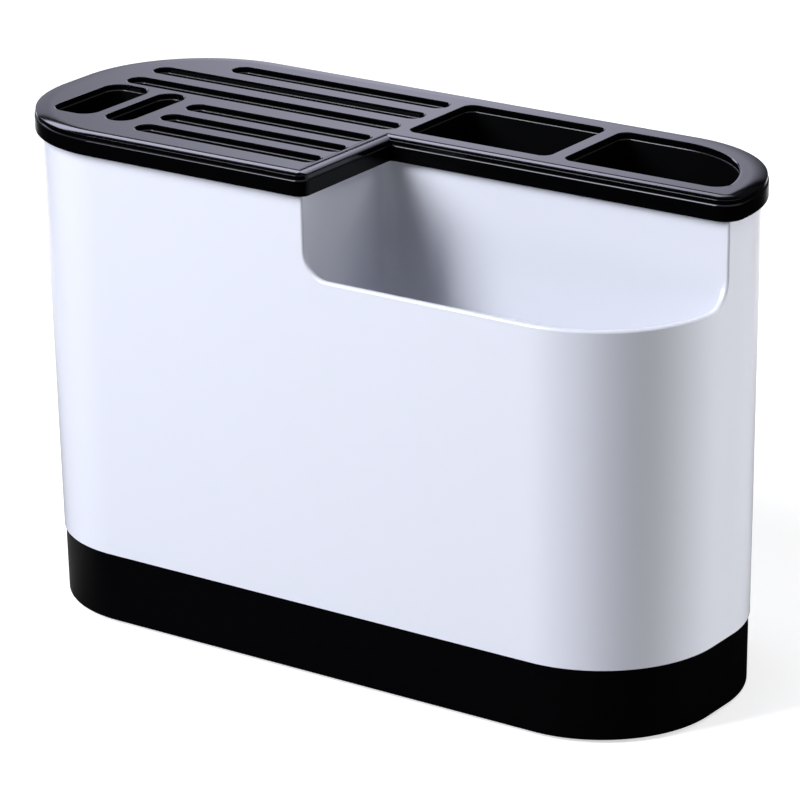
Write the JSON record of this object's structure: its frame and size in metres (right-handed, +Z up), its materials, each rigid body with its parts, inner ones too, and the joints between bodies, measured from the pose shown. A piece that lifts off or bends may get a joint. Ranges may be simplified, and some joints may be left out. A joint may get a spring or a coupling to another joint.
{
  "type": "chopstick and knife holder",
  "caption": "Stadium-shaped upright kitchen holder: black slotted lid with knife, scissors and chopstick openings, white body with an open front pocket, black drip tray.",
  "frame": {"origin": "centre of the footprint, on the surface that the holder stands on, under the feet", "axes": "+X along the length to the right as seen from the front, +Y to the back, +Z up; the open pocket is in the front right quarter"},
  "size_m": [0.2746, 0.1096, 0.183],
  "materials": {
    "lid": "glossy black moulded plastic",
    "guide": "satin black moulded plastic",
    "liner": "satin black moulded plastic",
    "body": "glossy white moulded plastic",
    "drain": "satin white moulded plastic",
    "tray": "glossy black moulded plastic",
    "foot": "dark rubber pad"
  },
  "bodies": {
    "tray": {"drip_tray": "tray", "foot_front_left": "foot", "foot_front_right": "foot", "foot_rear_left": "foot", "foot_rear_right": "foot"},
    "body": {"body_shell": "body", "knife_bay_drain": "drain", "pocket_drain": "drain"},
    "liner": {"chopstick_liner": "liner"},
    "cover": {"lid": "lid", "knife_guide": "guide"}
  },
  "joints": [
    {"name": "lift_body", "type": "slide", "parent": "tray", "child": "body", "axis": [0, 0, 1], "range_m": [0, 0.04]},
    {"name": "lift_liner", "type": "slide", "parent": "body", "child": "liner", "axis": [0, 0, 1], "range_m": [0, 0.17]},
    {"name": "lift_lid", "type": "slide", "parent": "liner", "child": "cover", "axis": [0, 0, 1], "range_m": [0, 0.04]}
  ]
}
